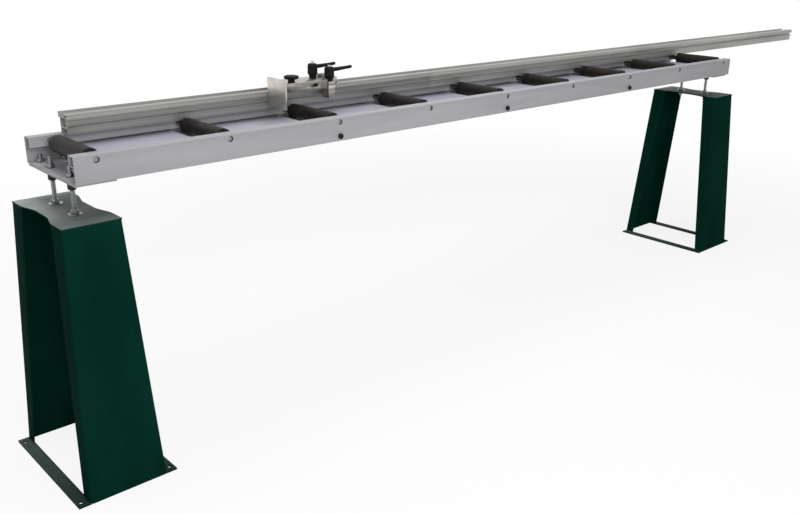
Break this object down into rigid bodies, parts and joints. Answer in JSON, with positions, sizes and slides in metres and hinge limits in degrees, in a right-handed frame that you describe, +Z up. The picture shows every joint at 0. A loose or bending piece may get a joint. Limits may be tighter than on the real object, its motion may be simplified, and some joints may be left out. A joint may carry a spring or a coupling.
{
  "type": "roller stand",
  "caption": "Long roller table for bar stock on two folded steel stands, with levelling rods, a guide rail and a sliding length stop.",
  "frame": {"origin": "on the floor, under the middle of the whole stand's bounding box", "axes": "+X along the table towards the end that the guide rail runs past, +Y from the front rail to the back rail, +Z up"},
  "size_m": [4.198, 0.416, 0.9955],
  "materials": {
    "rail_paint": "satin light grey coat on an aluminium extrusion",
    "cover_paint": "satin pale lavender grey coat",
    "roller_black": "satin brown-black coat, worn by bars",
    "zinc_steel": "bright zinc plate",
    "bearing_steel": "ground steel",
    "tie_aluminium": "turned",
    "black_oxide": "black oxide",
    "plate_aluminium": "satin grey coat on steel plate",
    "guide_aluminium": "mill finish with draw lines",
    "stand_green": "satin dark green powder coat",
    "stop_aluminium": "milled",
    "bright_steel": "ground steel",
    "black_plastic": "moulded black plastic with fine grain"
  },
  "bodies": {
    "table": {"front_rail": "rail_paint", "back_rail": "rail_paint", "cover_1": "cover_paint", "cover_2": "cover_paint", "cover_3": "cover_paint", "cover_4": "cover_paint", "cover_5": "cover_paint", "cover_6": "cover_paint", "cover_7": "cover_paint", "cover_8": "cover_paint", "roller_axles": "zinc_steel", "roller_bearings": "bearing_steel", "axle_spacers": "zinc_steel", "cross_ties": "tie_aluminium", "tie_screws": "black_oxide", "near_adapter_plate": "plate_aluminium", "far_adapter_plate": "plate_aluminium", "plate_bolts": "zinc_steel", "plate_bolt_nuts": "zinc_steel", "rod_lock_nuts": "zinc_steel", "rod_long_nuts": "black_oxide", "near_guide_rail": "guide_aluminium", "far_guide_rail": "guide_aluminium", "guide_brackets": "guide_aluminium", "guide_screws": "black_oxide"},
    "near_stand": {"near_top_plate": "stand_green", "near_front_leg": "stand_green", "near_back_leg": "stand_green", "near_base_strips": "stand_green", "near_rods": "zinc_steel", "near_rod_nuts": "zinc_steel", "near_rod_washers": "zinc_steel"},
    "far_stand": {"far_top_plate": "stand_green", "far_front_leg": "stand_green", "far_back_leg": "stand_green", "far_base_strips": "stand_green", "far_rods": "zinc_steel", "far_rod_nuts": "zinc_steel", "far_rod_washers": "zinc_steel"},
    "roller_1_body": {"roller_1": "roller_black"},
    "roller_2_body": {"roller_2": "roller_black"},
    "roller_3_body": {"roller_3": "roller_black"},
    "roller_4_body": {"roller_4": "roller_black"},
    "roller_5_body": {"roller_5": "roller_black"},
    "roller_6_body": {"roller_6": "roller_black"},
    "roller_7_body": {"roller_7": "roller_black"},
    "roller_8_body": {"roller_8": "roller_black"},
    "roller_9_body": {"roller_9": "roller_black"},
    "stop_carriage": {"stop_saddle": "stop_aluminium", "index_block": "stop_aluminium", "jaw_spacer": "bright_steel", "clamp_jaw": "stop_aluminium"},
    "length_stop": {"stop_plate": "bright_steel", "stop_bar": "bright_steel"},
    "knob": {"clamp_knob": "black_plastic"},
    "rear_lever": {"lever_a": "black_plastic", "lever_a_stud": "bright_steel"},
    "front_lever": {"lever_b": "black_plastic", "lever_b_stud": "bright_steel"}
  },
  "joints": [
    {"name": "roller_1_spin", "type": "hinge", "parent": "table", "child": "roller_1_body", "pos_m": [-1.934, -0.02, 0.856], "axis": [0, 1, 0], "continuous": true},
    {"name": "roller_2_spin", "type": "hinge", "parent": "table", "child": "roller_2_body", "pos_m": [-1.57275, -0.02, 0.856], "axis": [0, 1, 0], "continuous": true},
    {"name": "roller_3_spin", "type": "hinge", "parent": "table", "child": "roller_3_body", "pos_m": [-1.2115, -0.02, 0.856], "axis": [0, 1, 0], "continuous": true},
    {"name": "roller_4_spin", "type": "hinge", "parent": "table", "child": "roller_4_body", "pos_m": [-0.85025, -0.02, 0.856], "axis": [0, 1, 0], "continuous": true},
    {"name": "roller_5_spin", "type": "hinge", "parent": "table", "child": "roller_5_body", "pos_m": [-0.489, -0.02, 0.856], "axis": [0, 1, 0], "continuous": true},
    {"name": "roller_6_spin", "type": "hinge", "parent": "table", "child": "roller_6_body", "pos_m": [-0.12775, -0.02, 0.856], "axis": [0, 1, 0], "continuous": true},
    {"name": "roller_7_spin", "type": "hinge", "parent": "table", "child": "roller_7_body", "pos_m": [0.2335, -0.02, 0.856], "axis": [0, 1, 0], "continuous": true},
    {"name": "roller_8_spin", "type": "hinge", "parent": "table", "child": "roller_8_body", "pos_m": [0.59475, -0.02, 0.856], "axis": [0, 1, 0], "continuous": true},
    {"name": "roller_9_spin", "type": "hinge", "parent": "table", "child": "roller_9_body", "pos_m": [0.956, -0.02, 0.856], "axis": [0, 1, 0], "continuous": true},
    {"name": "near_stand_height", "type": "slide", "parent": "table", "child": "near_stand", "axis": [0, 0, 1], "range_m": [-0.012, 0.03]},
    {"name": "far_stand_height", "type": "slide", "parent": "table", "child": "far_stand", "axis": [0, 0, 1], "range_m": [-0.012, 0.03]},
    {"name": "carriage_slide", "type": "slide", "parent": "table", "child": "stop_carriage", "axis": [1, 0, 0], "range_m": [-0.61, 3.13]},
    {"name": "stop_fine_slide", "type": "slide", "parent": "stop_carriage", "child": "length_stop", "axis": [1, 0, 0], "range_m": [-0.06, 0.0065]},
    {"name": "knob_turn", "type": "hinge", "parent": "stop_carriage", "child": "knob", "pos_m": [-1.221, 0.07, 0.95], "axis": [0, 0, 1], "range_deg": [0, 360]},
    {"name": "rear_lever_turn", "type": "hinge", "parent": "stop_carriage", "child": "rear_lever", "pos_m": [-1.116, 0.105, 0.95], "axis": [0, 0, 1], "range_deg": [0, 120]},
    {"name": "front_lever_turn", "type": "hinge", "parent": "stop_carriage", "child": "front_lever", "pos_m": [-1.083, 0.064, 0.94], "axis": [0, 0, 1], "range_deg": [-90, 15]}
  ]
}
